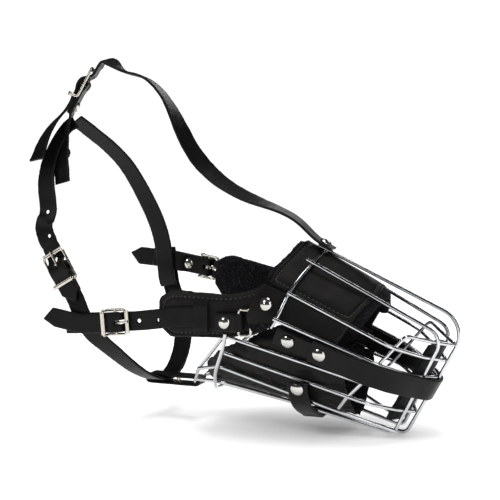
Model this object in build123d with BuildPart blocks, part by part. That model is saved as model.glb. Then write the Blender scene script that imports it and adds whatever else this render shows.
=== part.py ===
# Wire basket muzzle with a buckled leather harness, as worn by a large dog.
# X runs forward to the nose, Y to the dog's left, Z up. The origin is the middle of the
# snout opening, in the plane of the rim. All sizes are in millimetres.
import os
from math import cos, radians, sin

from build123d import *

os.makedirs("parts", exist_ok=True)

# ---------------------------------------------------------------- driving dimensions
WIRE_R = 1.4            # basket wire radius
RING_R = 1.1            # cheek ring and buckle wire radius
STRAP_W = 15.0          # harness strap width
STRAP_T = 2.2           # harness strap thickness
LEATHER_T = 2.3         # sheet leather on the basket and cheeks
FELT_T = 5.5            # felt thickness
BAND_W = 17.0           # front band width
BAND_T = 2.6            # front band thickness
PITCH = 25.0            # nose-down angle of the upper basket
RIGHT = -1              # the dog's right side, at negative Y
LEFT = 1                # the dog's left side, at positive Y

PLATE_W = 3.2           # flattened rest and keeper bars, along the strap
PLATE_T = 1.7           # and their thickness
BUCKLE_HALF_W = 9.3     # buckle rail to the strap's centre line
BUCKLE_KEEPER_Z = 6.8   # keeper bar height above the heel bar
FOLD_R = 2.55           # middle of the leather folded round a heel bar
TAB_T = 1.9             # buckle tab leather
STRAP_LOW = -3.0        # strap height where it dips under the rest bar
STRAP_HIGH = 4.95       # strap height over the heel bar
STRAP_REST = 3.4        # strap height on top of the tab

RIVET_R = 4.7           # dome rivet radius
RIVET_H = 2.0           # dome rivet height
SHANK_R = 1.5           # rivet shank radius


def export(name, part):
    """Label one finished piece and write it under its node name."""
    part.label = name
    export_step(part, "parts/" + name + ".step")


# ---------------------------------------------------------------- wire helpers
def bent_path(points, bends):
    """Straight runs joined by arcs; bends gives each inner corner's radius."""
    corners = [Vector(*p) for p in points]
    start = corners[0]
    for i in range(1, len(corners) - 1):
        before = (corners[i - 1] - corners[i]).normalized()
        after = (corners[i + 1] - corners[i]).normalized()
        half = radians(before.get_angle(after)) / 2
        reach = bends[i - 1] * cos(half) / sin(half)
        arc_start = corners[i] + before * reach
        arc_end = corners[i] + after * reach
        inward = (before + after).normalized()
        arc_middle = corners[i] + inward * (bends[i - 1] / sin(half) - bends[i - 1])
        Line(start, arc_start)
        ThreePointArc(arc_start, arc_middle, arc_end)
        start = arc_end
    Line(start, corners[-1])


def round_wire(points, bends, radius=WIRE_R):
    """A bent round wire."""
    with BuildPart() as wire:
        with BuildLine() as path:
            bent_path(points, bends)
        run = path.wire()
        with BuildSketch(Plane(origin=run @ 0, z_dir=run % 0)):
            Circle(radius)
        sweep(path=run)
    return wire.part


def curved_wire(points, radius=WIRE_R):
    """A round wire along a smooth curve."""
    with BuildPart() as wire:
        with BuildLine() as path:
            Spline(*points)
        run = path.wire()
        with BuildSketch(Plane(origin=run @ 0, z_dir=run % 0)):
            Circle(radius)
        sweep(path=run)
    return wire.part


def both_sides(half):
    """Join a right-hand half to its mirror image in the middle plane."""
    with BuildPart() as whole:
        add(half)
        mirror(about=Plane.XZ)
    return whole.part


def left_copy(right_part):
    """The same piece on the dog's left side."""
    with BuildPart() as copy:
        mirror(right_part, about=Plane.XZ)
    return copy.part


# ---------------------------------------------------------------- basket wires
RIM_HALF = [(24, 0, 52.8), (20.8, -26.2, 44.6), (11.8, -51.2, 25.6), (5.2, -58.6, 8.6), (1.2, -59.8, 1.6)]
RIM_POINTS = [(x, -y, z) for x, y, z in reversed(RIM_HALF[1:])] + RIM_HALF


def bedded(leather):
    """Leather with the shallow groove that the rim wire presses into it."""
    with BuildPart() as grooved:
        add(leather)
        add(curved_wire(RIM_POINTS, WIRE_R + 0.05), mode=Mode.SUBTRACT)
    return grooved.part


def build_basket_wires():
    export("wire_rim", curved_wire(RIM_POINTS))

    top_centre = [(19, 0, 57.9), (134.8, 0, 2.9), (88.5, 0, -81.5), (-63, 0, -52.8)]
    export("wire_top_center", round_wire(top_centre, [20, 6]))

    top_right = [(18.3, -27.1, 49.3), (119.5, -18.5, -4.8), (82.3, -14.8, -79.5), (5, -25, -58.6),
                 (-52, -27, -46.6), (-78, -10.5, -49.6)]
    right = round_wire(top_right, [12, 6, 30, 20])
    export("wire_top_right", right)
    export("wire_top_left", left_copy(right))

    side_hoop = [(12.2, -53.8, 27.2), (87, -47, -9.8), (106, -24, -19.5), (118.6, 0, -25.2),
                 (106, 24, -19.5), (87, 47, -9.8), (12.2, 53.8, 27.2)]
    export("wire_side_hoop", round_wire(side_hoop, [22, 24, 12, 24, 22]))

    upper_hoop = [(3.7, -61.3, 8.5), (78, -49, -22.5), (99, -25, -33.5), (112.6, 0, -38.2), (99, 25, -33.5),
                  (78, 49, -22.5), (3.7, 61.3, 8.5)]
    export("wire_band_upper", round_wire(upper_hoop, [22, 24, 12, 24, 22]))

    lower_half = [(104.6, 0, -50), (91, -25, -45.6), (71, -48.5, -37.6), (-37, -54.6, -6.8),
                  (-70, -24, -38.5), (-79.5, -9, -52), (-80, 0, -52.6)]
    export("wire_band_lower", both_sides(round_wire(lower_half, [24, 22, 8, 16, 5])))

    low_hoop = [(-38.6, -50, -20.6), (70, -43, -52.6), (86.5, -22, -60), (96, 0, -65), (86.5, 22, -60),
                (70, 43, -52.6), (-38.6, 50, -20.6)]
    export("wire_lower_hoop", round_wire(low_hoop, [20, 24, 12, 24, 20]))

    floor_right = [(-69, -26.5, -38), (-45.4, -43, -32), (45, -36, -61), (83.5, -17.2, -77.2)]
    floor = round_wire(floor_right, [10, 40])
    export("wire_floor_right", floor)
    export("wire_floor_left", left_copy(floor))

    rear_half = [(-60.5, 0, -55.6), (-54.6, -27.8, -49.2), (-47, -45, -34), (-40.2, -52.2, -21),
                 (-35.2, -57.2, -5)]
    rear_all = [(x, -y, z) for x, y, z in reversed(rear_half[1:])] + rear_half
    export("wire_rear_hoop", curved_wire(rear_all))

    arch = [(46, -36.0, -58.6), (53, -42.0, -50.0), (66, -46.6, -37), (79, -45.2, -22), (96.8, -40.6, -2),
            (113, -19, -9), (125.6, 0, -13.6)]
    arch_all = arch + [(x, -y, z) for x, y, z in reversed(arch[:-1])]
    export("wire_nose_arch", round_wire(arch_all, [12, 12, 20, 6, 20, 10, 20, 6, 20, 12, 12]))


# ---------------------------------------------------------------- sheet helpers
def strip_section(plane, points, thickness):
    """The cut face of a bent sheet, centred on a smooth curve in a plane."""
    with BuildSketch(plane) as face:
        with BuildLine():
            Spline(*points)
        trace(line_width=thickness)
    return face.sketch


def lofted_sheet(sections):
    """One sheet through a row of cut faces."""
    with BuildPart() as sheet:
        for section in sections:
            add(section)
        loft()
    return sheet.part


def ribbon(points, outs, width, thickness, ends=None, count=14):
    """A flat strap along a smooth curve; outs are its face directions at equal steps."""
    with BuildLine() as path:
        if ends is None:
            Spline(*points)
        else:
            Spline(*points, tangents=ends)
    run = path.line
    with BuildPart() as strap:
        for i in range(count + 1):
            share = i / count
            place = share * (len(outs) - 1)
            lower = min(int(place), len(outs) - 2)
            blend = place - lower
            face = Vector(*outs[lower]) * (1 - blend) + Vector(*outs[lower + 1]) * blend
            tangent = run % share
            with BuildSketch(Plane(origin=run @ share, x_dir=face.cross(tangent), z_dir=tangent)):
                Rectangle(width, thickness)
        loft()
    return strap.part


# ---------------------------------------------------------------- pad over the nose
PAD_AXIS = Vector(cos(radians(PITCH)), 0, -sin(radians(PITCH)))
PAD_ORIGIN = Vector(25, 0, 55)
PAD_SIDE = Plane(origin=PAD_ORIGIN + Vector(0, 80, 0), x_dir=PAD_AXIS, z_dir=(0, -1, 0))


def pad_plane(along):
    """A cross-section plane of the nose pad: local x is left, local y is up and forward."""
    return Plane(origin=PAD_ORIGIN + PAD_AXIS * along, x_dir=(0, 1, 0), z_dir=PAD_AXIS)


def trimmed(sheet, outline, corner, depth=160):
    """Keep what lies inside a side outline given along the pad and above the ridge line."""
    with BuildPart() as cut:
        add(sheet)
        with BuildSketch(PAD_SIDE) as side:
            with BuildLine():
                Polyline(*outline, close=True)
            make_face()
            fillet(side.vertices(), corner)
        extrude(amount=depth, mode=Mode.INTERSECT)
    return cut.part


def arch(points, drop):
    """A full arch from its right half, moved down under the layers above it."""
    scale = 1 - drop / 55
    half = [(y * scale, n - drop) for y, n in points]
    return half + [(-y, n) for y, n in reversed(half[:-1])]


PAD_REAR = [(-51.0, -35.5), (-48.8, -30.0), (-39.0, -20.2), (-25.2, -12.0), (0, 0.2)]
PAD_FRONT = [(-46.6, -35.5), (-44.4, -30.0), (-34.0, -20.0), (-21.6, -13.4), (0, -4.8)]
PAD_START = -26
PAD_END = 62


def pad_layer(drop, thickness):
    """One layer of the nose pad, its outer face the given drop under the wires."""
    middle = drop + thickness / 2
    rear = strip_section(pad_plane(PAD_START), arch(PAD_REAR, middle), thickness)
    front = strip_section(pad_plane(PAD_END), arch(PAD_FRONT, middle), thickness)
    return lofted_sheet([rear, front])


def build_nose_pad():
    leather_side = [(-16, 4), (46, 4), (54, -8), (50, -31.5), (-17, -31.5), (-18, -24)]
    export("nose_pad_leather", bedded(trimmed(pad_layer(0, LEATHER_T), leather_side, 2)))
    felt_side = [(-21, 4), (52, 4), (60, -8), (58, -33.5), (-22, -33.5), (-23, -24)]
    export("nose_pad_felt", trimmed(pad_layer(LEATHER_T + 0.1, FELT_T), felt_side, 3))


def build_nose_wings():
    curves = {
        -30: [(-54, -33), (-57, -38.6), (-62, -46), (-65.5, -58), (-66.5, -72)],
        4: [(-49.8, -33), (-51.0, -38.6), (-53.6, -46), (-56.2, -58), (-57, -72)],
        60: [(-46.6, -33), (-47.2, -38.6), (-49, -45), (-50.4, -58), (-50.8, -72)],
    }
    sections = [strip_section(pad_plane(along), curve, LEATHER_T) for along, curve in curves.items()]
    outline = [(-20, -33), (50, -33), (48, -50), (12, -52), (1, -54), (-3.5, -62), (-11, -68), (-19, -59)]
    right = bedded(trimmed(lofted_sheet(sections), outline, 2))
    export("nose_wing_right", right)
    export("nose_wing_left", left_copy(right))


# ---------------------------------------------------------------- leather on the basket
BAND_POINTS = [(30, -56.9, -14.2), (52, -54.2, -22.3), (72, -51.6, -29.4), (88.6, -40.4, -36.2),
               (103.0, -20.4, -43.0), (110.6, 0, -46.8)]
BAND_OUTS = [(0, -0.96, -0.28), (0, -0.98, -0.2), (0.25, -0.96, -0.1), (0.72, -0.68, -0.15),
             (0.84, -0.4, -0.4), (0.87, 0, -0.49)]


def build_front_band():
    middle_tangent = (0, 1, 0)
    half = ribbon(BAND_POINTS, BAND_OUTS, BAND_W, BAND_T, [(1, 0.1, -0.36), middle_tangent])
    export("front_band", both_sides(half))

    anchor_points = [(3.5, -57.4, -4.0), (24, -55.0, -12.0), (46, -52.0, -20.4)]
    anchor_outs = [(0, -0.95, -0.31), (0, -0.96, -0.28), (0, -0.98, -0.2)]
    anchor = ribbon(anchor_points, anchor_outs, 13.6, LEATHER_T, None, 6)
    export("band_anchor_right", anchor)
    export("band_anchor_left", left_copy(anchor))


def build_front_bumper():
    thickness = 8.0
    outer_r = 21.0
    front_x = 112.9
    height = 66.0
    lean = Vector(0.55, 0, 1)
    base = Plane(origin=(front_x - outer_r - 0.55 * 45, 0, -24.7 - 45))
    with BuildPart() as bumper:
        with BuildSketch(base):
            with BuildLine():
                CenterArc((0, 0), outer_r - thickness / 2, -56, 112)
            trace(line_width=thickness)
        extrude(amount=height, dir=lean.normalized())
    export("front_bumper", bumper.part)


LINING_SECTIONS = {
    -63: [(-25.5, -31.5), (-23.6, -38), (-17.6, -43.2), (-9, -46.0), (0, -46.8)],
    -54: [(-34.0, -23.4), (-33.6, -31), (-26.0, -42.4), (-13, -48.0), (0, -49.8)],
    -26: [(-49.4, -9.4), (-46.6, -21.5), (-37.8, -36.4), (-23.2, -49.0), (0, -55.0)],
    -10: [(-50.2, -5.8), (-47.0, -23.5), (-36.9, -40.9), (-22.3, -52.4), (0, -58.1)],
    12: [(-50.4, -5.0), (-46.4, -26.0), (-35.6, -47.0), (-21.0, -57.0), (0, -62.4)],
    33: [(-46.8, -15.5), (-43.2, -34.0), (-32.2, -51.4), (-18.8, -60.6), (0, -65.8)],
    54: [(-43.4, -24.8), (-39.6, -41.6), (-27.1, -57.2), (-15.7, -65.3), (0, -69.6)],
}


def build_chin_lining():
    sections = []
    for x, half in LINING_SECTIONS.items():
        full = half + [(-y, z) for y, z in reversed(half[:-1])]
        plane = Plane(origin=(x, 0, 0), x_dir=(0, 1, 0), z_dir=(1, 0, 0))
        sections.append(strip_section(plane, full, LEATHER_T))
    export("chin_lining", lofted_sheet(sections))


def build_chin_strap():
    points = [(19, -51.6, -38.5), (19, -47.6, -49.6), (19, -37.0, -60.0), (19, -18.0, -68.6), (19, 0, -71.8)]
    outs = [(0, -1, -0.15), (0, -0.86, -0.5), (0, -0.6, -0.8), (0, -0.3, -0.95), (0, 0, -1)]
    half = ribbon(points, outs, STRAP_W, STRAP_T, [(0, 0.1, -1), (0, 1, 0)], 10)
    export("chin_strap", both_sides(half))


# ---------------------------------------------------------------- cheek pads
def cheek_plane(side):
    """Outer face of a cheek pad: x runs back, y is up on the left and down on the right."""
    rise = radians(0 if side == RIGHT else 9)
    back = Vector(-cos(rise), side * 0.125, sin(rise)).normalized()
    up = Vector(sin(rise), 0, cos(rise))
    out = back.cross(up) * side
    return Plane(origin=(0, side * 51.2, 8 if side == RIGHT else 13), x_dir=back, z_dir=out)


CHEEK_SHAPE = [(0, -6), (14, -13), (36, -16.5), (78, -17), (87, -8), (87, 11), (78, 17.5), (34, 15.5),
               (16, 19), (7, 23), (0, 14)]
KEEPER_AT = 54.0
STRAP_DROP = {RIGHT: -1.2, LEFT: 2.0}      # strap line above the pad's middle line


def build_cheek_pads():
    for side, word in ((RIGHT, "right"), (LEFT, "left")):
        plane = cheek_plane(side)
        outline = [(s, side * t) for s, t in CHEEK_SHAPE]
        with BuildPart() as leather:
            with BuildSketch(plane) as shape:
                with BuildLine():
                    Polyline(*outline, close=True)
                make_face()
                fillet(shape.vertices(), 3.5)
            extrude(amount=-LEATHER_T)
        export("cheek_pad_leather_" + word, leather.part)
        with BuildPart() as felt:
            with BuildSketch(plane.offset(-LEATHER_T - 0.1)) as shape:
                with BuildLine():
                    Polyline(*outline, close=True)
                make_face()
                fillet(shape.vertices(), 3.5)
                offset(amount=1.6)
            extrude(amount=-FELT_T)
        export("cheek_pad_felt_" + word, felt.part)

        middle = plane.from_local_coords(Vector(KEEPER_AT, side * STRAP_DROP[side], 0))
        across = Plane(origin=middle, x_dir=plane.y_dir, z_dir=plane.x_dir)
        with BuildPart() as keeper:
            with BuildSketch(across):
                with BuildLine():
                    Polyline((-13.2, 0.7), (-9.6, 0.7), (-8.6, 3.6), (8.6, 3.6), (9.6, 0.7), (13.2, 0.7))
                trace(line_width=1.2)
            extrude(amount=5.5, both=True)
        export("cheek_keeper_" + word, keeper.part)


RING_BACK = 24.7        # rear bar of the cheek ring, measured back along the pad
LINK_END = 43.0         # rear end of the short strap that holds the ring
RING_LENGTH = 9.0       # between the ring's two upright bars
RING_HEIGHT = 19.0
RING_LIFT = 4.4         # ring plane above the pad leather
RING_DROP = -4.0        # ring's middle line below the pad's middle line


def build_cheek_rings():
    for side, word in ((RIGHT, "right"), (LEFT, "left")):
        plane = cheek_plane(side)
        half_h = RING_HEIGHT / 2
        front = RING_BACK - RING_LENGTH
        centre = plane.from_local_coords(Vector(0, side * RING_DROP, RING_LIFT))
        corners = [(front, 0), (front, half_h), (RING_BACK, half_h), (RING_BACK, 0)]
        with BuildPart() as ring:
            with BuildLine(Plane(origin=centre, x_dir=plane.x_dir, z_dir=plane.z_dir)) as path:
                FilletPolyline(*corners, radius=2.2)
            run = path.wire()
            with BuildSketch(Plane(origin=run @ 0, z_dir=run % 0)):
                Circle(RING_R)
            sweep(path=run)
            mirror(about=Plane(origin=centre, x_dir=plane.x_dir, z_dir=plane.y_dir))
        export("cheek_ring_" + word, ring.part)

        side_view = Plane(origin=plane.from_local_coords(Vector(0, side * RING_DROP, 0)), x_dir=plane.x_dir,
                          z_dir=plane.x_dir.cross(plane.z_dir))
        fold = RING_R + 0.45 + LEATHER_T / 2
        with BuildPart() as link:
            with BuildSketch(side_view):
                with BuildLine():
                    upper = Line((LINK_END, RING_LIFT - 1.3), (RING_BACK + 4, RING_LIFT + fold - 0.6))
                    lower = Line((LINK_END, RING_LIFT - 1.3 - LEATHER_T),
                                 (RING_BACK + 4, RING_LIFT - fold + 0.4))
                    Spline(upper @ 1, (RING_BACK, RING_LIFT + fold), (RING_BACK - fold, RING_LIFT),
                           (RING_BACK, RING_LIFT - fold), lower @ 1)
                trace(line_width=LEATHER_T - 0.4)
            extrude(amount=6.6, both=True)
        export("cheek_link_strap_" + word, link.part)


# ---------------------------------------------------------------- buckles
def local_point(plane, x, y, z):
    """A point given in a buckle's own directions."""
    return plane.from_local_coords(Vector(x, y, z))


def in_place(plane, part):
    """Move a piece modelled at the origin to its place on a strap."""
    with BuildPart() as placed:
        with Locations(plane.location):
            add(part)
    return placed.part


def buckle_frame(front, back):
    """Rest bar, rails, heel bar and the keeper bar raised over the strap."""
    half = [(-front, 0, 0), (-front, BUCKLE_HALF_W, 0), (back, BUCKLE_HALF_W, 0),
            (back, BUCKLE_HALF_W, BUCKLE_KEEPER_Z), (back, 0, BUCKLE_KEEPER_Z)]
    with BuildPart() as frame:
        add(round_wire(half, [2.4, 1.8, 1.8], RING_R))
        mirror(about=Plane.XZ)
        with BuildSketch(Plane.XZ):
            Circle(RING_R + 0.1)
        extrude(amount=BUCKLE_HALF_W, both=True)
        with BuildSketch(Plane.XZ):
            with Locations((-front - 0.7, 0), (back, BUCKLE_KEEPER_Z)):
                RectangleRounded(PLATE_W, PLATE_T, 0.6)
        extrude(amount=BUCKLE_HALF_W - 0.6, both=True)
    return frame.part


def buckle_prong(front):
    """An eye round the heel bar and a rod resting on the rest bar."""
    rod_r = 0.85
    rod_z = RING_R + rod_r + 0.08
    with BuildPart() as prong:
        with BuildSketch(Plane.XZ):
            Circle(RING_R + 0.16 + 1.3)
            Circle(RING_R + 0.16, mode=Mode.SUBTRACT)
        extrude(amount=1.1, both=True)
        with BuildSketch(Plane.YZ.offset(-front - 2.2)):
            with Locations((0, rod_z)):
                Circle(rod_r)
        extrude(amount=front + 2.2)
        with BuildSketch(Plane.XZ):
            Circle(RING_R + 0.16)
        extrude(amount=2, both=True, mode=Mode.SUBTRACT)
    return prong.part


def strap_through_buckle(front, back, lead, tail):
    """The strap dipping under the rest bar, rising over the heel bar, with the prong's slot."""
    with BuildPart() as zone:
        with BuildSketch(Plane.XZ):
            with BuildLine():
                Line((-front - lead, STRAP_LOW), (-front + 0.5, STRAP_LOW))
                Spline((-front + 0.5, STRAP_LOW), (-5.0, 1.1), (-2.9, 3.7), (1.0, STRAP_HIGH), (5.2, 4.4),
                       (9.5, STRAP_REST), tangents=[(1, 0), (1, 0)])
                Line((9.5, STRAP_REST), (back + tail, STRAP_REST))
            trace(line_width=STRAP_T)
        extrude(amount=STRAP_W / 2, both=True)
        with BuildSketch(Plane.XY.offset(-6)):
            with Locations((-4.8, 0)):
                SlotOverall(8.4, 2.9)
        extrude(amount=14, mode=Mode.SUBTRACT)
    return zone.part


def tab_path(length):
    """Both layers of a tab folded round the heel bar, meeting behind it."""
    near = TAB_T / 2 + 0.08
    Line((length, near), (8, near))
    Spline((8, near), (0, FOLD_R), tangents=[(-1, 0), (-1, 0)])
    ThreePointArc((0, FOLD_R), (-FOLD_R, 0), (0, -FOLD_R))
    Spline((0, -FOLD_R), (8, -near), tangents=[(1, 0), (1, 0)])
    Line((8, -near), (length, -near))


def buckle_tab(length):
    """A leather tab folded round the heel bar and slotted for the prong."""
    with BuildPart() as tab:
        with BuildSketch(Plane.XZ):
            with BuildLine():
                tab_path(length)
            trace(line_width=TAB_T)
        extrude(amount=STRAP_W / 2, both=True)
        with BuildSketch(Plane.XY.offset(-6)):
            with Locations((-1, 0)):
                Rectangle(9.6, 3.4)
        extrude(amount=12, mode=Mode.SUBTRACT)
    return tab.part


CHEEK_FRONT = 8.4
CHEEK_BACK = 7.6
NECK_FRONT = 12.0
NECK_BACK = 12.5

CHEEK_HEEL = {
    "right": Plane(origin=(-119.5, -66.8, 1.0), x_dir=(-0.996, 0, -0.08), z_dir=(0, -1, 0)),
    "left": Plane(origin=(-98.5, 66.8, 31.0), x_dir=(-0.986, 0, 0.165), z_dir=(0, 1, 0)),
}
NECK_HEEL = Plane(origin=(-168.0, -64.0, 40.0), x_dir=(0.5, 0, -0.866), z_dir=(0, -1, 0))
CROWN_HEEL = Plane(origin=(-175.0, -4.0, 182.0), x_dir=(-0.42, -0.22, -0.88), z_dir=(-0.85, -0.25, 0.468))


def build_buckles():
    sizes = {"cheek_right": (CHEEK_HEEL["right"], CHEEK_FRONT, CHEEK_BACK),
             "cheek_left": (CHEEK_HEEL["left"], CHEEK_FRONT, CHEEK_BACK),
             "neck": (NECK_HEEL, NECK_FRONT, NECK_BACK),
             "crown": (CROWN_HEEL, NECK_FRONT, NECK_BACK)}
    for name, (plane, front, back) in sizes.items():
        export(name + "_buckle_frame", in_place(plane, buckle_frame(front, back)))
        export(name + "_buckle_prong", in_place(plane, buckle_prong(front)))


# ---------------------------------------------------------------- cheek straps and tabs
TIP_LENGTH = 9.0


def strap_tail(start, length, bend):
    """The free end beyond the keeper: a flat strip that turns a little and ends in a point."""
    half = STRAP_W / 2
    turn = length * bend
    with BuildPart() as tail:
        with BuildSketch(Plane.XY.offset(STRAP_REST - STRAP_T / 2)):
            with BuildLine():
                Polyline((start, -half), (start + length * 0.3, -half),
                         (start + length - TIP_LENGTH, turn - half), (start + length, turn + 1),
                         (start + length - TIP_LENGTH, turn + half), (start + length * 0.3, half),
                         (start, half), close=True)
            make_face()
        extrude(amount=STRAP_T)
    return tail.part


JOIN = 0.1              # a ribbon's end is this much slimmer than the piece it runs into


def build_cheek_straps():
    layout = {"right": (RIGHT, 46.0, -0.13), "left": (LEFT, 60.0, -0.05)}
    for word, (side, length, bend) in layout.items():
        heel = CHEEK_HEEL[word]
        pad = cheek_plane(side)
        lift = STRAP_T / 2 + 0.15
        entry = local_point(heel, -CHEEK_FRONT - 4, 0, STRAP_LOW)
        line = [pad.from_local_coords(Vector(s, side * STRAP_DROP[side], lift)) for s in (50, 66)]
        run = ribbon(line + [entry], [pad.z_dir, pad.z_dir, heel.z_dir], STRAP_W - JOIN, STRAP_T - JOIN,
                     [pad.x_dir, heel.x_dir], 10)
        with BuildPart() as strap:
            add(run)
            add(in_place(heel, strap_through_buckle(CHEEK_FRONT, CHEEK_BACK, 5, 6)))
            add(in_place(heel, strap_tail(CHEEK_BACK + 6, length, bend)))
            for back in (18, 34):
                spot = local_point(heel, -back, 0, -30)
                with BuildSketch(Plane(origin=spot, z_dir=heel.z_dir)):
                    Circle(1.5)
            extrude(amount=60, mode=Mode.SUBTRACT)
        export("cheek_strap_" + word, strap.part)


def cheek_tab(heel, collar_at):
    """A tab folded round the heel bar at one end and round the collar strap at the other."""
    near = TAB_T / 2 + 0.08
    loop_half = 12.5
    under = -(near + TAB_T + STRAP_T + 0.6)
    turn = (near - under) / 2
    with BuildPart() as tab:
        with BuildSketch(Plane.XZ):
            with BuildLine():
                tab_path(collar_at - loop_half - 8)
                Line((collar_at - loop_half - 8, near), (collar_at + loop_half - 3, near))
                ThreePointArc((collar_at + loop_half - 3, near),
                              (collar_at + loop_half - 3 + turn, near - turn),
                              (collar_at + loop_half - 3, under))
                Line((collar_at + loop_half - 3, under), (collar_at - loop_half + 1, under))
                Spline((collar_at - loop_half + 1, under), (collar_at - loop_half - 8, -near),
                       tangents=[(-1, 0), (-1, 0)])
            trace(line_width=TAB_T)
        extrude(amount=STRAP_W / 2, both=True)
        with BuildSketch(Plane.XY.offset(-6)):
            with Locations((-1, 0)):
                Rectangle(9.6, 3.4)
        extrude(amount=12, mode=Mode.SUBTRACT)
    return in_place(heel, tab.part)


COLLAR_AT = {"right": 29.5, "left": 36.0}    # from the heel bar to the collar strap's middle


def build_cheek_tabs():
    for word, plane in CHEEK_HEEL.items():
        export("cheek_buckle_tab_" + word, cheek_tab(plane, COLLAR_AT[word]))


# ---------------------------------------------------------------- collar and crown
def build_collar():
    along = NECK_HEEL.x_dir
    entry = local_point(NECK_HEEL, -NECK_FRONT - 5, 0, STRAP_LOW)
    right_points = [(-183, -7, 152), (-191, -18, 140), (-193, -32, 122), (-189.2, -45, 101),
                    (-183.6, -53.5, 80), entry]
    right_outs = [(-0.35, -0.9, 0.25), (-0.25, -0.93, 0.25), (-0.1, -0.96, 0.2), (0, -0.98, 0.15),
                  (0, -1, 0)]
    with BuildPart() as right:
        ends = [(-0.75, -0.5, -0.4), along]
        add(ribbon(right_points, right_outs, STRAP_W - JOIN, STRAP_T - JOIN, ends, 24))
        add(in_place(NECK_HEEL, strap_through_buckle(NECK_FRONT, NECK_BACK, 6, 4)))
        add(in_place(NECK_HEEL, strap_tail(NECK_BACK + 4, 13, 0)))
        for x, height in ((-178.4, 64), (-184.0, 82)):
            with BuildSketch(Plane(origin=(x, -90, height), z_dir=(0, 1, 0))):
                Circle(1.5)
        extrude(amount=60, mode=Mode.SUBTRACT)
    export("collar_right", right.part)

    left_points = [(-184.5, -3.4, 153.5), (-173, 8.5, 141.5), (-157, 27, 120), (-145, 42, 91),
                   (-138, 51, 68), (-135, 56.6, 48), (-134, 58.2, 36), (-133.4, 58.6, 26),
                   (-132, 62.2, 15)]
    left_outs = [(0.25, 0.9, 0.35), (0.2, 0.92, 0.35), (0.1, 0.93, 0.3), (0, 0.97, 0.2), (0, 1, 0),
                 (0, 1, 0)]
    export("collar_left", ribbon(left_points, left_outs, STRAP_W, STRAP_T, None, 16))

    exit_point = local_point(NECK_HEEL, 21, 0, 0)
    lower_points = [(-135, 65, 47), (-133.6, 65, 34), (-131.4, 65, 16), (-122, 60, -3),
                    (-113.5, 48, -22), (-109.5, 28, -42), (-110, 9, -51.6), (-112, -9, -51.6),
                    (-122, -32, -39.5), (-133, -51, -22), (-142, -63, -8), (-147.4, -65.6, 2),
                    (-152.2, -65, 12), exit_point]
    lower_outs = [(0, 1, 0), (0, 1, -0.1), (0, 0.9, -0.4), (0, 0.55, -0.85), (0, 0, -1),
                  (0, -0.45, -0.9), (0, -0.85, -0.5), (0, -0.99, -0.1), (0, -1, 0)]
    ends = [(0.1, 0, -1), -along]
    with BuildPart() as lower:
        add(ribbon(lower_points, lower_outs, STRAP_W - JOIN, STRAP_T - JOIN, ends, 34))
        add(in_place(NECK_HEEL, buckle_tab(22)))
    export("collar_lower", lower.part)


def build_crown():
    low = local_point(CROWN_HEEL, 26, 0, -1.2)
    tail_points = [low, (-187, -20, 138), (-182, -33, 118), (-178, -39, 104)]
    tail_outs = [CROWN_HEEL.z_dir, (-0.3, -0.93, 0.2), (-0.1, -0.97, 0.2)]
    with BuildPart() as tab:
        add(in_place(CROWN_HEEL, buckle_tab(27)))
        add(ribbon(tail_points, tail_outs, STRAP_W - 1, TAB_T - JOIN, None, 8))
    export("crown_tab", tab.part)

    along = CROWN_HEEL.x_dir
    entry = local_point(CROWN_HEEL, -NECK_FRONT - 4, 0, STRAP_LOW)
    leave = local_point(CROWN_HEEL, NECK_BACK + 2, 0, STRAP_REST)
    points = [(31, 0, 55), (21, 0, 60.6), (3, 0, 76), (-28, 0, 89.5), (-58, -1, 104), (-84, -2, 130),
              (-100, -2, 160), (-113, -1, 178), (-129, 0, 188), (-148, 0, 194.5), entry]
    outs = [(0.5, 0, 0.87), (0.6, 0, 0.8), (0.45, -0.1, 0.9), (0.45, -0.35, 0.85), (0.6, -0.45, 0.6),
            (0.68, -0.62, 0.4), (0.6, -0.45, 0.6), (0.45, -0.05, 0.88), (0.25, 0.12, 0.95), (0, 0.08, 1),
            CROWN_HEEL.z_dir]
    free_points = [leave, (-196, -21, 150), (-198.5, -33, 136), (-198, -44, 122)]
    free_outs = [CROWN_HEEL.z_dir, (-0.6, -0.75, 0.3), (-0.25, -0.95, 0.2)]
    with BuildPart() as strap:
        add(ribbon(points, outs, STRAP_W - JOIN, STRAP_T - JOIN, [(-0.87, 0, 0.5), along], 48))
        add(in_place(CROWN_HEEL, strap_through_buckle(NECK_FRONT, NECK_BACK, 5, 3)))
        add(ribbon(free_points, free_outs, STRAP_W - JOIN, STRAP_T - JOIN, [along, (0, -0.6, -0.8)], 10))
    export("forehead_strap", strap.part)


def build_throat_loop():
    """A flat leather loop joining the wire throat loop to the collar's lowest point."""
    bar_x = -80.0
    length = 39.0
    half = 3.0
    view = Plane(origin=(bar_x, 0, -52.6), x_dir=(-1, 0, 0.02), z_dir=(0, -1, 0))
    with BuildPart() as loop:
        with BuildSketch(view):
            with BuildLine():
                Line((0, half), (length, half))
                ThreePointArc((length, half), (length + half, 0), (length, -half))
                Line((length, -half), (0, -half))
                ThreePointArc((0, -half), (-half, 0), (0, half))
            trace(line_width=TAB_T)
        extrude(amount=7.5, both=True)
    export("throat_loop", loop.part)


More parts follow.
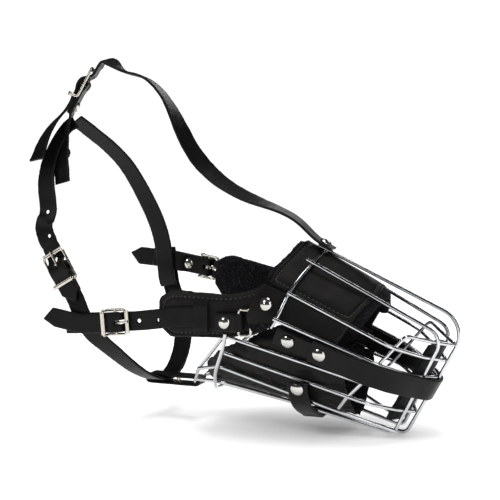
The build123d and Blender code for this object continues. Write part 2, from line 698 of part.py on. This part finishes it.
# ---------------------------------------------------------------- rivets
def dome_rivet(place, out, grip):
    """A domed head with its shank reaching back through the leather."""
    seat = Plane(origin=place, z_dir=out)
    sphere_r = (RIVET_R ** 2 + RIVET_H ** 2) / (2 * RIVET_H)
    profile = Plane(origin=(0, 0, 0), x_dir=(1, 0, 0), z_dir=(0, -1, 0))
    with BuildPart() as rivet:
        with BuildSketch(profile):
            with BuildLine():
                ThreePointArc((RIVET_R, 0.5),
                              (sphere_r * sin(0.4), sphere_r * (cos(0.4) - 1) + RIVET_H + 0.5),
                              (0, RIVET_H + 0.5))
                Polyline((0, RIVET_H + 0.5), (0, -grip), (SHANK_R, -grip), (SHANK_R, 0), (RIVET_R, 0),
                         (RIVET_R, 0.5))
            make_face()
        revolve(axis=Axis.Z)
    return in_place(seat, rivet.part)


def rivet_group(name, rivets, grip):
    """One node of identical rivets, each a separate solid."""
    with BuildPart() as group:
        for place, out in rivets:
            add(dome_rivet(place, out, grip))
    export(name, group.part)


def mirrored(rivets):
    """The same rivets on both sides."""
    return rivets + [((x, -y, z), (i, -j, k)) for (x, y, z), (i, j, k) in rivets]


def build_rivets():
    rivet_group("band_rivets", mirrored([((13.5, -58.4, -8.3), (0, -0.95, -0.3)),
                                         ((37.0, -57.6, -16.8), (0, -0.97, -0.25))]), 4.2)
    rivet_group("chin_rivets", mirrored([((19.0, -52.5, -43.7), (0, -0.94, -0.34))]), 3)
    rivet_group("wing_rivets", mirrored([((-3.0, -58.9, 18.8), (0, -0.98, 0.2))]), 3)
    cheeks = []
    for side in (RIGHT, LEFT):
        pad = cheek_plane(side)
        spot = pad.from_local_coords(Vector(RING_BACK + 10.3, side * RING_DROP, RING_LIFT + 0.9))
        cheeks.append((spot, pad.z_dir))
    rivet_group("cheek_rivets", cheeks, 3)
    tabs = [(local_point(CHEEK_HEEL["right"], 15, 0, -2.05), -CHEEK_HEEL["right"].z_dir),
            (local_point(CHEEK_HEEL["left"], 18, 0, -2.05), -CHEEK_HEEL["left"].z_dir)]
    rivet_group("tab_rivets", tabs, 3)
    crown = [(local_point(CROWN_HEEL, 20, 0, -2.05), -CROWN_HEEL.z_dir),
             (Vector(-182.5, -24.9, 126.7), Vector(0.3, 0.93, -0.2))]
    rivet_group("crown_rivets", crown, 3)
    rivet_group("throat_rivet", [(Vector(-97, 0, -54.2), Vector(0, 0, -1))], 6)
    rivet_group("nose_strap_rivet", [(Vector(25, 0, 60.2), Vector(0.5, 0, 0.87))], 3)


if __name__ == "__main__":
    build_basket_wires()
    build_nose_pad()
    build_nose_wings()
    build_front_band()
    build_front_bumper()
    build_chin_lining()
    build_chin_strap()
    build_cheek_pads()
    build_cheek_rings()
    build_buckles()
    build_cheek_straps()
    build_cheek_tabs()
    build_collar()
    build_crown()
    build_throat_loop()
    build_rivets()
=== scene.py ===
"""Looks for the basket muzzle: chromed wire basket, black leather, grey felt and nickel buckles.

Metres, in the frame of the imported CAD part: +X to the nose, +Y to the dog's left, +Z up.
"""

import math

import bmesh
import bpy
import numpy as np
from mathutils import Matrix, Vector, kdtree, noise
from mathutils.bvhtree import BVHTree


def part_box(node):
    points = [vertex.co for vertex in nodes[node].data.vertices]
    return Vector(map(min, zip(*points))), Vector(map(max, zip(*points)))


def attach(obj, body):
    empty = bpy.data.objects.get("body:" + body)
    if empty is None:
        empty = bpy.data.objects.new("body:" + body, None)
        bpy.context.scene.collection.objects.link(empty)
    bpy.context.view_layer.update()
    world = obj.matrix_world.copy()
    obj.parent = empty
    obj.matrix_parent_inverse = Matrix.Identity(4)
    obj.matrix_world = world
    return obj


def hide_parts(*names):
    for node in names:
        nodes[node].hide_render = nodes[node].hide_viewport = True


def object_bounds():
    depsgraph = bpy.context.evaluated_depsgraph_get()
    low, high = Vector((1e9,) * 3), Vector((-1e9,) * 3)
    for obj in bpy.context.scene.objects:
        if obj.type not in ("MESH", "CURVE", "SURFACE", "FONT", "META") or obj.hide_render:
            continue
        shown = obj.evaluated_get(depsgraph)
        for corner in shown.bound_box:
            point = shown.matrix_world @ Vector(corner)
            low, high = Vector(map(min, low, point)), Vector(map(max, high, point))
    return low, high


MM = 0.001

# camera
CAMERA_TARGET = Vector((-36.5, 0, 52.5)) * MM
CAMERA_AZIMUTH = 20.04
CAMERA_ELEVATION = 4.82
CAMERA_DISTANCE = 989 * MM
CAMERA_LENS = 91.8
FLOOR_SIZE = 12.0
PITCH = 25.0            # nose-down angle of the basket, degrees

# leather and felt
STRAP_VOXEL = 0.65 * MM
PAD_VOXEL = 0.9 * MM
FELT_VOXEL = 2.2 * MM
STITCH_PITCH = 3.4 * MM
STITCH_LENGTH = 2.1 * MM
STITCH_RADIUS = 0.45 * MM
STITCH_SIDES = 8
STITCH_PROFILE = [(-1.0, 0.25), (-0.86, 0.75), (-0.5, 1.0), (0.0, 1.1), (0.5, 1.0), (0.86, 0.75),
                  (1.0, 0.25)]  # (place along half a stitch, share of its radius)
SEAM_INSET = 3.4 * MM   # from a sheet's edge to its stitch line
SEAM_REACH = 2.4 * MM   # how far beside the stitch line the leather is pulled in
SEAM_DEPTH = 0.6 * MM
SEAM_DIMPLES = 0.8      # extra depth at the needle holes, as a share
OUTER_FACING = 0.62     # least cosine between an outer face's normal and the way out
WELD_DISTANCE = 0.02 * MM
SWELL_FRAMES = 20       # length of the felt's cloth run

# the wing's rear lower corner, where felt shows
WING_FELT_TOP = 4.5 * MM
WING_FELT_FRONT = 4 * MM

# the snout's middle line under the jaw
SNOUT_DROP = 15 * MM
SNOUT_SLOPE = math.tan(math.radians(12))

STRAPS = ["cheek_strap_right", "cheek_strap_left", "cheek_buckle_tab_right", "cheek_buckle_tab_left",
          "collar_right", "collar_left", "collar_lower", "crown_tab", "forehead_strap", "throat_loop",
          "chin_strap", "front_band", "band_anchor_right", "band_anchor_left", "cheek_keeper_right",
          "cheek_keeper_left", "cheek_link_strap_right", "cheek_link_strap_left"]
PADS = ["nose_pad_leather", "cheek_pad_leather_right", "cheek_pad_leather_left", "nose_wing_right",
        "nose_wing_left"]
FELTS = {"nose_pad_felt": 1.0 * MM, "chin_lining": 1.6 * MM, "cheek_pad_felt_right": 1.0 * MM,
         "cheek_pad_felt_left": 1.0 * MM}

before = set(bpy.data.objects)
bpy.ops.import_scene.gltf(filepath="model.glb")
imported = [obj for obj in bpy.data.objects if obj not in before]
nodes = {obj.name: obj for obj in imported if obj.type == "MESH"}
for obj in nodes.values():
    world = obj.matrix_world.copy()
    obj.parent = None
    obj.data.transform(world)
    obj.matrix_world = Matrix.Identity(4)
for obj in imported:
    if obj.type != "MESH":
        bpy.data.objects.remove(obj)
cad_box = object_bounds()


# ---------------------------------------------------------------- materials
def new_material(name, color, metallic=0.0):
    """A principled material with its object coordinates; returns what the other helpers need."""
    material = bpy.data.materials.new(name)
    material.use_nodes = True
    tree = material.node_tree
    shader = tree.nodes["Principled BSDF"]
    shader.inputs["Base Color"].default_value = (*color, 1)
    shader.inputs["Metallic"].default_value = metallic
    coordinates = tree.nodes.new("ShaderNodeTexCoord")
    return material, tree, shader, coordinates.outputs["Object"]


def noise_node(tree, place, scale, detail=4.0, roughness=0.55):
    node = tree.nodes.new("ShaderNodeTexNoise")
    node.inputs["Scale"].default_value = scale
    node.inputs["Detail"].default_value = detail
    node.inputs["Roughness"].default_value = roughness
    tree.links.new(place, node.inputs["Vector"])
    return node.outputs["Fac"]


def voronoi_node(tree, place, scale):
    """Distance to the edge of each cell."""
    node = tree.nodes.new("ShaderNodeTexVoronoi")
    node.feature = "DISTANCE_TO_EDGE"
    node.inputs["Scale"].default_value = scale
    tree.links.new(place, node.inputs["Vector"])
    return node.outputs["Distance"]


def stretched(tree, place, scale):
    """Coordinates squeezed by a different amount along each axis."""
    node = tree.nodes.new("ShaderNodeMapping")
    node.inputs["Scale"].default_value = scale
    tree.links.new(place, node.inputs["Vector"])
    return node.outputs["Vector"]


def color_ramp(tree, value, stops):
    node = tree.nodes.new("ShaderNodeValToRGB")
    ramp = node.color_ramp
    while len(ramp.elements) < len(stops):
        ramp.elements.new(0.5)
    for element, (place, color) in zip(ramp.elements, stops):
        element.position = place
        element.color = (*color, 1)
    tree.links.new(value, node.inputs["Fac"])
    return node.outputs["Color"]


def value_range(tree, value, low, high, from_low=0.3, from_high=0.7):
    node = tree.nodes.new("ShaderNodeMapRange")
    node.inputs["From Min"].default_value = from_low
    node.inputs["From Max"].default_value = from_high
    node.inputs["To Min"].default_value = low
    node.inputs["To Max"].default_value = high
    tree.links.new(value, node.inputs["Value"])
    return node.outputs["Result"]


def mixed(tree, share, first, color):
    """Blends a colour output towards one plain colour."""
    node = tree.nodes.new("ShaderNodeMix")
    node.data_type = "RGBA"
    tree.links.new(share, node.inputs["Factor"])
    tree.links.new(first, node.inputs[6])
    node.inputs[7].default_value = (*color, 1)
    return node.outputs[2]


def bump(tree, shader, layers):
    """Stacked bumps; each layer is (height output, strength, distance in metres)."""
    last = None
    for height, strength, distance in layers:
        node = tree.nodes.new("ShaderNodeBump")
        node.inputs["Strength"].default_value = strength
        node.inputs["Distance"].default_value = distance
        tree.links.new(height, node.inputs["Height"])
        if last is not None:
            tree.links.new(last, node.inputs["Normal"])
        last = node.outputs["Normal"]
    tree.links.new(last, shader.inputs["Normal"])


def leather(name, dark, light, worn, rough_low, rough_high, grain_depth, grain=1500.0):
    """Dyed leather: fine pebbled grain, soft creases, uneven sheen and edges rubbed lighter."""
    material, tree, shader, place = new_material(name, dark)
    mottling = noise_node(tree, place, 90, 5)
    fine = noise_node(tree, place, 2600, 3)
    creases = noise_node(tree, place, 260, 8, 0.7)
    pebbles = voronoi_node(tree, place, grain)
    body = color_ramp(tree, mottling, [(0.3, dark), (0.72, light)])
    geometry = tree.nodes.new("ShaderNodeNewGeometry")
    edge = value_range(tree, geometry.outputs["Pointiness"], 0, 0.55, 0.53, 0.62)
    tree.links.new(mixed(tree, edge, body, worn), shader.inputs["Base Color"])
    tree.links.new(value_range(tree, creases, rough_low, rough_high), shader.inputs["Roughness"])
    shader.inputs["Coat Weight"].default_value = 0.02
    shader.inputs["Coat Roughness"].default_value = 0.28
    shader.inputs["Specular IOR Level"].default_value = 0.15
    pebble_height = value_range(tree, pebbles, 0, 1, 0.0, 0.25)
    bump(tree, shader, [(creases, 0.4, 0.25 * MM), (pebble_height, 0.5, grain_depth * MM),
                        (fine, 0.25, 0.03 * MM)])
    return material


def felt_material():
    """Pressed wool felt: clumped fibres, flecks of lighter grey and a faint sheen."""
    material, tree, shader, place = new_material("pressed_felt", (0.03, 0.031, 0.034))
    clumps = noise_node(tree, place, 420, 8, 0.75)
    fibres = noise_node(tree, stretched(tree, place, (1.0, 2.2, 0.8)), 2400, 6, 0.8)
    flecks = noise_node(tree, place, 850, 3, 0.7)
    base = color_ramp(tree, clumps, [(0.28, (0.0012, 0.0012, 0.0014)), (0.55, (0.0030, 0.0030, 0.0035)),
                                     (0.80, (0.012, 0.012, 0.014))])
    fleck_share = value_range(tree, flecks, 0, 0.7, 0.56, 0.72)
    tree.links.new(mixed(tree, fleck_share, base, (0.055, 0.056, 0.062)), shader.inputs["Base Color"])
    shader.inputs["Roughness"].default_value = 0.95
    shader.inputs["Sheen Weight"].default_value = 0.03
    shader.inputs["Sheen Roughness"].default_value = 0.5
    shader.inputs["Sheen Tint"].default_value = (0.55, 0.57, 0.66, 1)
    shader.inputs["Specular IOR Level"].default_value = 0.08
    bump(tree, shader, [(clumps, 0.9, 1.1 * MM), (fibres, 0.7, 0.45 * MM)])
    return material


def plated_metal(name, color, rough_low, rough_high, scratches):
    """Polished plating: faint waves under the plate, fine scratches and clouded patches."""
    material, tree, shader, place = new_material(name, color, 1.0)
    clouds = noise_node(tree, place, 160, 4)
    fine = noise_node(tree, stretched(tree, place, (1, 1, 9)), 900, 3)
    tint = tuple(c * 0.84 for c in color)
    tree.links.new(color_ramp(tree, clouds, [(0.35, tint), (0.6, color)]), shader.inputs["Base Color"])
    tree.links.new(value_range(tree, clouds, rough_low, rough_high), shader.inputs["Roughness"])
    bump(tree, shader, [(clouds, 0.15, 0.15 * MM), (fine, scratches, 0.03 * MM)])
    return material


def thread_material():
    """Waxed black thread with a twist."""
    material, tree, shader, place = new_material("waxed_thread", (0.035, 0.035, 0.04))
    twist = noise_node(tree, place, 3500, 3)
    tree.links.new(color_ramp(tree, twist, [(0.35, (0.008, 0.008, 0.009)), (0.7, (0.05, 0.048, 0.046))]),
                   shader.inputs["Base Color"])
    shader.inputs["Roughness"].default_value = 0.7
    bump(tree, shader, [(twist, 0.6, 0.12 * MM)])
    return material


def floor_material():
    """A nearly even pale studio floor."""
    material, tree, shader, place = new_material("pale_floor", (0.93, 0.93, 0.93))
    grain = noise_node(tree, place, 6, 3)
    tree.links.new(color_ramp(tree, grain, [(0.3, (0.965, 0.965, 0.965)), (0.7, (0.98, 0.98, 0.98))]),
                   shader.inputs["Base Color"])
    shader.inputs["Roughness"].default_value = 0.9
    shader.inputs["Specular IOR Level"].default_value = 0.1
    return material


STRAP_LEATHER = leather("strap_leather", (0.0018, 0.0017, 0.0016), (0.0034, 0.0031, 0.0029),
                        (0.03, 0.026, 0.023), 0.32, 0.48, grain_depth=0.05)
PAD_LEATHER = leather("pad_leather", (0.0022, 0.0020, 0.0018), (0.0056, 0.0048, 0.0041),
                      (0.032, 0.027, 0.023), 0.34, 0.54, grain_depth=0.13, grain=1250)
BUMPER_LEATHER = leather("bumper_leather", (0.0045, 0.0045, 0.0047), (0.010, 0.010, 0.0105),
                         (0.03, 0.028, 0.027), 0.45, 0.65, grain_depth=0.14, grain=1100)
FELT = felt_material()
CHROME = plated_metal("basket_chrome", (0.60, 0.61, 0.62), 0.07, 0.16, 0.25)
NICKEL = plated_metal("buckle_nickel", (0.62, 0.58, 0.51), 0.13, 0.25, 0.5)
DOME = plated_metal("dome_rivet_plate", (0.62, 0.60, 0.57), 0.10, 0.2, 0.35)
THREAD = thread_material()


def paint(piece, material):
    piece.data.materials.clear()
    piece.data.materials.append(material)


# ---------------------------------------------------------------- leather and felt pieces
def mesh_object(name, mesh):
    piece = bpy.data.objects.new(name, mesh)
    bpy.context.scene.collection.objects.link(piece)
    return piece


def bake_modifiers(piece):
    """Keeps the shape its modifiers give and removes them."""
    graph = bpy.context.evaluated_depsgraph_get()
    shaped = bpy.data.meshes.new_from_object(piece.evaluated_get(graph))
    piece.modifiers.clear()
    piece.data = shaped
    for polygon in shaped.polygons:
        polygon.use_smooth = True
    return piece


def remeshed_copy(node, name, voxel, smoothing):
    """An even, rounded skin of a CAD solid."""
    piece = mesh_object(name, nodes[node].data.copy())
    remesh = piece.modifiers.new("skin", "REMESH")
    remesh.mode = "VOXEL"
    remesh.voxel_size = voxel
    smooth = piece.modifiers.new("rounded", "SMOOTH")
    smooth.factor = 0.5
    smooth.iterations = smoothing
    return bake_modifiers(piece)


def vertex_arrays(mesh):
    places = np.empty(len(mesh.vertices) * 3)
    mesh.vertices.foreach_get("co", places)
    directions = np.empty(len(mesh.vertices) * 3)
    mesh.vertices.foreach_get("normal", directions)
    return places.reshape(-1, 3), directions.reshape(-1, 3)


def set_vertices(mesh, places):
    mesh.vertices.foreach_set("co", places.reshape(-1))
    mesh.update()


def ripple(piece, height, wavelength, seed):
    """Gentle unevenness, as hand-cut leather has."""
    places, directions = vertex_arrays(piece.data)
    shift = Vector((seed * 3.7, seed * 1.3, seed * 7.1))
    waves = np.array([noise.noise(Vector(p) / wavelength + shift) for p in places])
    set_vertices(piece.data, places + directions * (waves * height)[:, None])


def finish_piece(piece, node, material):
    paint(piece, material)
    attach(piece, "basket")
    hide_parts(node)


def build_straps():
    for index, node in enumerate(STRAPS):
        piece = remeshed_copy(node, node + "_hide", STRAP_VOXEL, 3)
        ripple(piece, 0.16 * MM, 12 * MM, index)
        finish_piece(piece, node, STRAP_LEATHER)


# ---------------------------------------------------------------- stitching
def round_length(outline):
    return sum((outline[i][0] - outline[i - 1][0]).length for i in range(len(outline)))


def outer_outline(node, centre_line):
    """Places and face normals, one per mesh corner, round the edge of a leather sheet's outer face; the
    longest such loop.
    """
    mesh = bmesh.new()
    mesh.from_mesh(nodes[node].data)
    bmesh.ops.remove_doubles(mesh, verts=mesh.verts, dist=WELD_DISTANCE)
    outer = set()
    for face in mesh.faces:
        middle = face.calc_center_median()
        if face.normal.dot((middle - centre_line(middle)).normalized()) > OUTER_FACING:
            outer.add(face)
    following = {}
    for face in mesh.faces:  # in mesh order, so that each run starts its seam at the same place
        if face not in outer:
            continue
        for loop in face.loops:
            others = [f for f in loop.edge.link_faces if f is not face and f in outer]
            if not others:
                following[loop.vert.index] = (loop.link_loop_next.vert.index, face.normal.copy())
    mesh.verts.ensure_lookup_table()
    loops = []
    left = dict(following)
    while left:
        start = next(iter(left))
        outline = []
        at = start
        while at in left:
            onward, normal = left.pop(at)
            outline.append((mesh.verts[at].co.copy(), normal))
            at = onward
        loops.append(outline)
    mesh.free()
    return max(loops, key=round_length)


def stitch_places(loop, inset, pitch):
    """Stitch middles, normals and directions along a loop moved inward."""
    points = [p for p, _ in loop]
    count = len(points)
    lengths = [(points[(i + 1) % count] - points[i]).length for i in range(count)]
    total = sum(lengths)
    steps = max(8, int(total / pitch))
    ring = []
    edge = 0
    walked = 0.0
    for step in range(steps):
        target = total * step / steps
        while walked + lengths[edge] < target:
            walked += lengths[edge]
            edge = (edge + 1) % count
        share = (target - walked) / max(lengths[edge], 1e-9)
        ring.append((points[edge].lerp(points[(edge + 1) % count], share), loop[edge][1]))
    inward = []
    for i in range(steps):
        along = (ring[(i + 1) % steps][0] - ring[i - 1][0]).normalized()
        inward.append(ring[i][0] + ring[i][1].cross(along).normalized() * inset)
    for _ in range(3):
        inward = [(inward[i - 1] + inward[i] * 2 + inward[(i + 1) % steps]) / 4 for i in range(steps)]
    return [(inward[i], ring[i][1], (inward[(i + 1) % steps] - inward[i - 1]).normalized())
            for i in range(steps)]


def stitched(places, name, cover):
    """One mesh of short thread stitches lying in the cover's surface."""
    tree = BVHTree.FromObject(cover, bpy.context.evaluated_depsgraph_get())
    mesh = bmesh.new()
    for place, normal, along in places:
        hit, face_normal, _, _ = tree.ray_cast(place + normal * 3 * MM, -normal, 8 * MM)
        if hit is None:
            continue
        side = face_normal.cross(along).normalized()
        forward = side.cross(face_normal)
        rings = []
        for reach, thickness in STITCH_PROFILE:
            sag = -0.55 * abs(reach) ** 3 * STITCH_RADIUS * 2
            middle = hit + forward * reach * STITCH_LENGTH / 2 + face_normal * (STITCH_RADIUS * 0.35 + sag)
            ring = []
            for k in range(STITCH_SIDES):
                angle = 2 * math.pi * k / STITCH_SIDES
                ring.append(mesh.verts.new(middle + (side * math.cos(angle) + face_normal * math.sin(angle))
                                           * STITCH_RADIUS * thickness))
            rings.append(ring)
        for a, b in zip(rings, rings[1:]):
            for k in range(STITCH_SIDES):
                mesh.faces.new((a[k], a[(k + 1) % STITCH_SIDES], b[(k + 1) % STITCH_SIDES], b[k]))
        mesh.faces.new(list(reversed(rings[0])))
        mesh.faces.new(rings[-1])
    bmesh.ops.recalc_face_normals(mesh, faces=mesh.faces)
    data = bpy.data.meshes.new(name)
    mesh.to_mesh(data)
    mesh.free()
    for polygon in data.polygons:
        polygon.use_smooth = True
    piece = mesh_object(name, data)
    paint(piece, THREAD)
    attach(piece, "basket")


def pull_in(piece, places, reach, depth, dimples):
    """The seam pulls the leather in along the stitch line, most at each needle hole."""
    tree = kdtree.KDTree(len(places))
    for i, (place, _, _) in enumerate(places):
        tree.insert(place, i)
    tree.balance()
    spots, directions = vertex_arrays(piece.data)
    for i in range(len(spots)):
        spot = Vector(spots[i])
        _, index, _ = tree.find(spot)
        place, normal, along = places[index]
        offset = spot - place
        along_part = offset.dot(along)
        across = (offset - along * along_part - normal * offset.dot(normal)).length
        facing = Vector(directions[i]).dot(normal)
        if across > reach or facing < 0.3:
            continue
        fall = (1 + math.cos(math.pi * across / reach)) / 2
        between = abs(along_part) / (STITCH_PITCH / 2)
        drop = depth * fall * (1 + dimples * min(between, 1) ** 4)
        spots[i] -= np.array(normal) * drop
    set_vertices(piece.data, spots)


def two_faced(piece, second, is_second):
    """Gives the second material to the faces that is_second picks by place and direction."""
    piece.data.materials.append(second)
    for polygon in piece.data.polygons:
        if is_second(polygon.center, polygon.normal):
            polygon.material_index = 1


PAD_LOW, PAD_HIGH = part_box("nose_pad_felt")
AXIS_START = Vector((PAD_LOW.x, 0, (PAD_LOW.z + PAD_HIGH.z) / 2 + 8 * MM))
AXIS_DIRECTION = Vector((math.cos(math.radians(PITCH)), 0, -math.sin(math.radians(PITCH))))


def nose_axis(point):
    """The nearest place on the line the nose pad wraps round."""
    return AXIS_START + AXIS_DIRECTION * (point - AXIS_START).dot(AXIS_DIRECTION)


def middle_plane(point):
    """For a cheek piece: the place straight across on the muzzle's middle plane."""
    return Vector((point.x, 0, point.z))


def build_pads():
    for index, node in enumerate(PADS):
        piece = remeshed_copy(node, node + "_hide", PAD_VOXEL, 3)
        ripple(piece, 0.35 * MM, 16 * MM, index + 40)
        is_wing = node.startswith("nose_wing")
        if not is_wing:
            centre = nose_axis if node == "nose_pad_leather" else middle_plane
            places = stitch_places(outer_outline(node, centre), SEAM_INSET, STITCH_PITCH)
            pull_in(piece, places, SEAM_REACH, SEAM_DEPTH, SEAM_DIMPLES)
            stitched(places, node + "_stitches", piece)
        finish_piece(piece, node, PAD_LEATHER)
        if is_wing:
            two_faced(piece, FELT, lambda place, out: place.z < WING_FELT_TOP and place.x < WING_FELT_FRONT)


def middle_of(place):
    """A place on the snout's own middle line, at the same distance forward."""
    return Vector((place.x, 0, -SNOUT_DROP - SNOUT_SLOPE * place.x))


def swell(piece, limit):
    """Blows the felt up a little from inside and keeps each point within limit of its start."""
    start, _ = vertex_arrays(piece.data)
    cloth = piece.modifiers.new("swell", "CLOTH")
    settings = cloth.settings
    settings.use_pressure = True
    settings.uniform_pressure_force = 4
    settings.effector_weights.gravity = 0
    settings.mass = 0.2
    settings.tension_stiffness = 12
    settings.compression_stiffness = 12
    cloth.point_cache.frame_start = 1
    cloth.point_cache.frame_end = SWELL_FRAMES
    scene = bpy.context.scene
    for number in range(1, SWELL_FRAMES + 1):
        scene.frame_set(number)
    graph = bpy.context.evaluated_depsgraph_get()
    shaped = bpy.data.meshes.new_from_object(piece.evaluated_get(graph))
    piece.modifiers.clear()
    moved, _ = vertex_arrays(shaped)
    travel = moved - start
    length = np.linalg.norm(travel, axis=1, keepdims=True)
    travel *= np.minimum(1, limit / np.maximum(length, 1e-9))
    piece.data = shaped
    set_vertices(shaped, start + travel)
    scene.frame_set(1)


def build_felts():
    for index, (node, limit) in enumerate(FELTS.items()):
        piece = remeshed_copy(node, node + "_wool", FELT_VOXEL, 4)
        swell(piece, limit)
        finer = piece.modifiers.new("finer", "SUBSURF")
        finer.levels = 1
        finer.render_levels = 1
        bake_modifiers(piece)
        ripple(piece, 0.5 * MM, 7 * MM, index + 70)
        ripple(piece, 0.22 * MM, 1.6 * MM, index + 90)
        finish_piece(piece, node, FELT)
        if node == "chin_lining":
            two_faced(piece, PAD_LEATHER, lambda place, out: out.dot(place - middle_of(place)) > 0)


def build_bumper():
    piece = remeshed_copy("front_bumper", "front_bumper_hide", PAD_VOXEL, 4)
    ripple(piece, 0.5 * MM, 11 * MM, 30)
    finish_piece(piece, "front_bumper", BUMPER_LEATHER)


def paint_cad_nodes():
    """Metal looks for the parts that stay as CAD; leather under those that a Blender piece replaces."""
    for name, node in nodes.items():
        if name.startswith("wire_"):
            material = CHROME
        elif name in ("tab_rivets", "throat_rivet") or "buckle_" in name or name.startswith("cheek_ring"):
            material = NICKEL
        elif name.endswith(("rivets", "rivet")):
            material = DOME
        else:
            material = STRAP_LEATHER
        paint(node, material)


# ---------------------------------------------------------------- studio
def area_light(name, place, target, width, height, power):
    data = bpy.data.lights.new(name, "AREA")
    data.shape = "RECTANGLE"
    data.size = width
    data.size_y = height
    data.energy = power
    light = bpy.data.objects.new(name, data)
    light.location = place
    light.rotation_euler = (Vector(target) - Vector(place)).to_track_quat("-Z", "Y").to_euler()
    bpy.context.scene.collection.objects.link(light)


def build_studio():
    floor_mesh = bpy.data.meshes.new("floor")
    half = FLOOR_SIZE / 2
    height = cad_box[0][2] - 0.5 * MM
    floor_mesh.from_pydata([(-half, -half, height), (half, -half, height), (half, half, height),
                            (-half, half, height)], [], [(0, 1, 2, 3)])
    floor = mesh_object("floor", floor_mesh)
    paint(floor, floor_material())

    middle = (-0.04, 0, 0.05)
    area_light("key", (-0.7, -1.1, 1.1), middle, 0.5, 0.5, 6)
    area_light("fill", (1.2, -0.9, 0.5), middle, 0.25, 1.0, 3)
    area_light("top", (0.1, 0.1, 1.5), middle, 0.9, 0.4, 6)
    area_light("rim", (0.2, 1.3, 0.8), middle, 1.2, 0.2, 4)

    world = bpy.data.worlds.new("studio")
    bpy.context.scene.world = world
    world.use_nodes = True
    tree = world.node_tree
    background = tree.nodes["Background"]
    background.inputs["Color"].default_value = (1, 1, 1, 1)
    background.inputs["Strength"].default_value = 1.12
    dim = tree.nodes.new("ShaderNodeBackground")
    dim.inputs["Color"].default_value = (0.05, 0.052, 0.056, 1)
    dim.inputs["Strength"].default_value = 1.0
    path = tree.nodes.new("ShaderNodeLightPath")
    mix = tree.nodes.new("ShaderNodeMixShader")
    tree.links.new(path.outputs["Is Glossy Ray"], mix.inputs["Fac"])
    tree.links.new(background.outputs[0], mix.inputs[1])
    tree.links.new(dim.outputs[0], mix.inputs[2])
    tree.links.new(mix.outputs[0], tree.nodes["World Output"].inputs["Surface"])

    bpy.context.scene.view_settings.view_transform = "Standard"


def build_camera():
    data = bpy.data.cameras.new("camera")
    data.lens = CAMERA_LENS
    data.sensor_width = 36
    camera = bpy.data.objects.new("camera", data)
    bpy.context.scene.collection.objects.link(camera)
    azimuth = math.radians(CAMERA_AZIMUTH)
    elevation = math.radians(CAMERA_ELEVATION)
    away = Vector((math.sin(azimuth) * math.cos(elevation), -math.cos(azimuth) * math.cos(elevation),
                   math.sin(elevation)))
    camera.location = CAMERA_TARGET + away * CAMERA_DISTANCE
    camera.rotation_euler = (-away).to_track_quat("-Z", "Y").to_euler()
    bpy.context.scene.camera = camera


paint_cad_nodes()
build_straps()
build_pads()
build_felts()
build_bumper()
build_studio()
build_camera()
